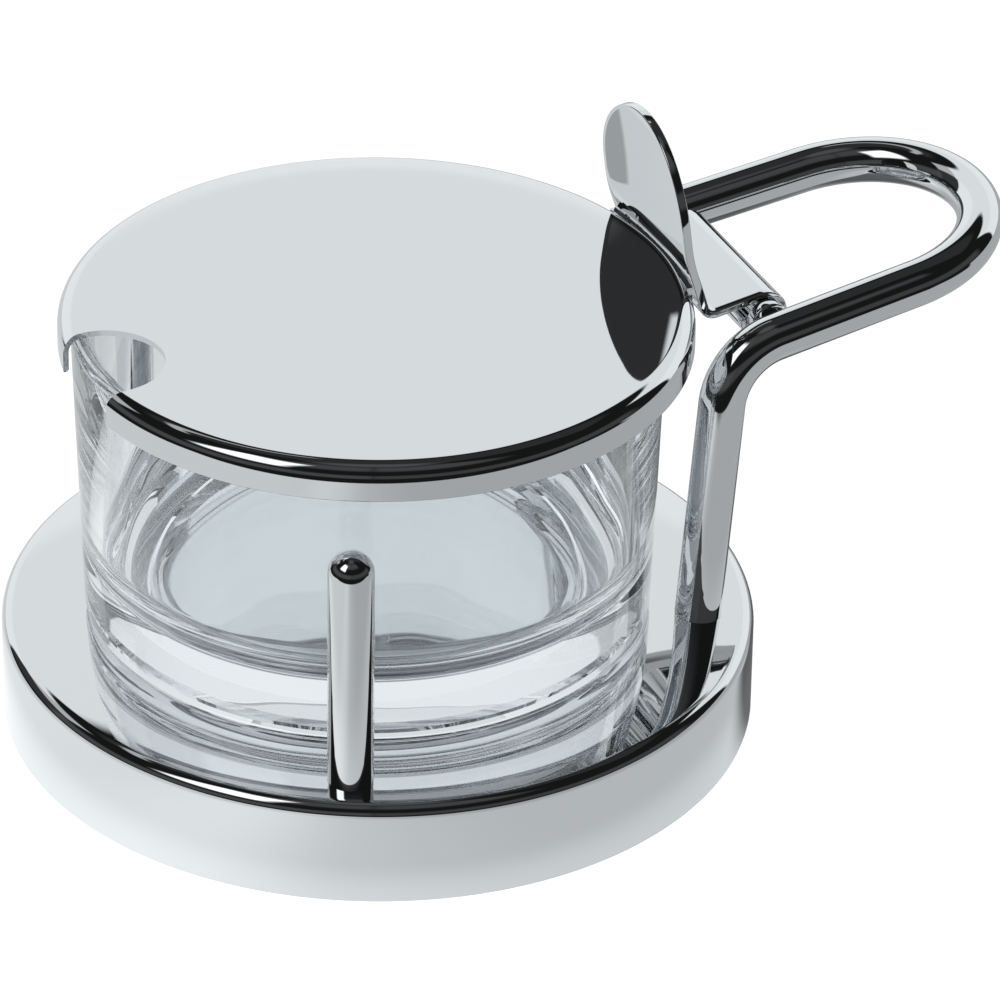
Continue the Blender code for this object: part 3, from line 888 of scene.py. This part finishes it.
def make_world():
    """White to the camera, and patches of light and dark to the steel and the glass."""
    world = bpy.data.worlds.new("studio")
    bpy.context.scene.world = world
    world.use_nodes = True
    tree = world.node_tree
    tree.nodes.clear()
    tones = Tones(tree)
    place = add_node(tree, "ShaderNodeTexCoord")
    turn, height = direction_angles(tones, place.outputs["Generated"])
    total = None
    for patch in STUDIO_PATCHES:
        value = tones.patch(turn, height, *patch)
        total = value if total is None else tones.math("ADD", total, value)
    total = tones.math("ADD", total, STUDIO_DARK)
    tint = add_node(tree, "ShaderNodeMix", data_type="RGBA", blend_type="MULTIPLY")
    tint.inputs["Factor"].default_value = 1.0
    tint.inputs["A"].default_value = STUDIO_TINT
    tree.links.new(total, tint.inputs["B"])
    studio = add_node(tree, "ShaderNodeBackground")
    tree.links.new(tint.outputs["Result"], studio.inputs["Color"])
    white = add_node(tree, "ShaderNodeBackground")
    white.inputs["Color"].default_value = WHITE
    path = add_node(tree, "ShaderNodeLightPath")
    pale = add_node(tree, "ShaderNodeBackground")
    pale.inputs["Color"].default_value = GLASS_PALE
    through = add_node(tree, "ShaderNodeMixShader")
    share = tones.math("MULTIPLY", path.outputs["Is Transmission Ray"], GLASS_PALE_SHARE)
    tree.links.new(share, through.inputs[0])
    tree.links.new(studio.outputs[0], through.inputs[1])
    tree.links.new(pale.outputs[0], through.inputs[2])
    mix = add_node(tree, "ShaderNodeMixShader")
    tree.links.new(path.outputs["Is Camera Ray"], mix.inputs[0])
    tree.links.new(through.outputs[0], mix.inputs[1])
    tree.links.new(white.outputs[0], mix.inputs[2])
    output = add_node(tree, "ShaderNodeOutputWorld")
    tree.links.new(mix.outputs[0], output.inputs["Surface"])


def painted_table_light(tones):
    """Painted light and shadow on the table: how bright each place looks where steel mirrors it."""
    tree = tones.tree
    place = add_node(tree, "ShaderNodeNewGeometry")
    right = tones.dot(place.outputs["Position"], SIGHT_RIGHT)
    ahead = tones.dot(place.outputs["Position"], SIGHT_AHEAD)
    length = add_node(tree, "ShaderNodeVectorMath", operation="LENGTH")
    tree.links.new(place.outputs["Position"], length.inputs[0])
    away = length.outputs["Value"]
    tone = tones.ramp(right, *TABLE_ACROSS)
    tone = tones.math("ADD", tone, tones.ramp(away, *TABLE_RIM))
    strip = tones.window(right, *TABLE_STRIP)
    tone = tones.math("ADD", tone, tones.math("MULTIPLY", strip, TABLE_STRIP_PAINTED_LIGHT))
    tone = tones.math("MULTIPLY", tone, tones.ramp(away, *TABLE_OUTWARD))
    # Painted shadow of the object on the table, behind a slanting line on the right
    side = tones.math("MULTIPLY", tones.math("SUBTRACT", right, LEE_START), LEE_SLOPE)
    lee = tones.rise(tones.math("SUBTRACT", ahead, side), *LEE_AHEAD)
    lee = tones.math("MULTIPLY", lee, tones.rise(right, *LEE_RIGHT))
    lee = tones.math("MULTIPLY", lee, tones.rise(away, *LEE_AWAY))
    left_over = tones.math("SUBTRACT", 1.0, tones.math("MULTIPLY", lee, PAINTED_SHADOW_DEPTH))
    tone = tones.math("MULTIPLY", tone, left_over)
    tone = tones.math("MULTIPLY", tone, tones.rise(ahead, *BRIGHT_FRONT))
    slant = tones.math("ADD", right, tones.math("MULTIPLY", ahead, ONWARD_SLOPE))
    onward = tones.math("MULTIPLY", tones.rise(slant, *ONWARD_RIGHT), tones.rise(ahead, *ONWARD_AHEAD))
    near = tones.window(right, *BRIGHT_SIDES)
    tone = tones.math("MULTIPLY", tone, tones.math("MAXIMUM", near, onward))
    return tones.math("ADD", tone, STUDIO_DARK)


def make_floor():
    """A white table: plain and pale to the eye, and where steel mirrors it a little darker, with
    painted light and a painted shadow.
    """
    mesh = bpy.data.meshes.new("table")
    reach = TABLE_REACH
    mesh.from_pydata([(-reach, -reach, 0.0), (reach, -reach, 0.0), (reach, reach, 0.0),
                      (-reach, reach, 0.0)], [], [(0, 1, 2, 3)])
    table = bpy.data.objects.new("table", mesh)
    bpy.context.scene.collection.objects.link(table)
    table.location.z = -SLIGHT_GAP
    material = bpy.data.materials.new("table_white")
    material.use_nodes = True
    tree = material.node_tree
    tree.nodes.clear()
    cloth = add_node(tree, "ShaderNodeBsdfDiffuse")
    cloth.inputs["Color"].default_value = TABLE_TONE
    glow = add_node(tree, "ShaderNodeEmission")
    glow.inputs["Strength"].default_value = TABLE_GLOW
    seen = add_node(tree, "ShaderNodeAddShader")
    tree.links.new(cloth.outputs[0], seen.inputs[0])
    tree.links.new(glow.outputs[0], seen.inputs[1])
    # Painted light and shadow: what steel mirrors of the table
    mirrored = add_node(tree, "ShaderNodeEmission")
    mirrored.inputs["Color"].default_value = TABLE_MIRRORED_TINT
    tree.links.new(painted_table_light(Tones(tree)), mirrored.inputs["Strength"])
    path = add_node(tree, "ShaderNodeLightPath")
    mix = add_node(tree, "ShaderNodeMixShader")
    tree.links.new(path.outputs["Is Glossy Ray"], mix.inputs[0])
    tree.links.new(seen.outputs[0], mix.inputs[1])
    tree.links.new(mirrored.outputs[0], mix.inputs[2])
    output = add_node(tree, "ShaderNodeOutputMaterial")
    tree.links.new(mix.outputs[0], output.inputs["Surface"])
    mesh.materials.append(material)


def make_camera():
    data = bpy.data.cameras.new("camera")
    data.lens = CAMERA_LENS
    data.sensor_width = CAMERA_SENSOR
    data.clip_end = CAMERA_REACH
    camera = bpy.data.objects.new("camera", data)
    bpy.context.scene.collection.objects.link(camera)
    back = -CAMERA_AHEAD.normalized()
    up = -CAMERA_DOWN
    up = (up - back * up.dot(back)).normalized()
    side = up.cross(back)
    turn = Matrix((side, up, back)).transposed().to_4x4()
    camera.matrix_world = Matrix.Translation(CAMERA_PLACE) @ turn
    bpy.context.scene.camera = camera


def main():
    bpy.context.scene.view_settings.view_transform = "Standard"
    bpy.context.scene.cycles.max_bounces = MOST_BOUNCES
    bpy.context.scene.cycles.glossy_bounces = MOST_BOUNCES
    bpy.context.scene.cycles.transmission_bounces = MOST_BOUNCES
    make_camera()
    steel = polished_steel()
    plain = spun_steel()
    glass = clear_glass()
    make_base(steel)
    make_lid(steel)
    make_jar(glass)
    make_handle(steel)
    make_posts(steel)
    make_leaf(steel)
    make_hinge(steel)
    dress_cad_nodes(plain)
    make_world()
    make_floor()


main()
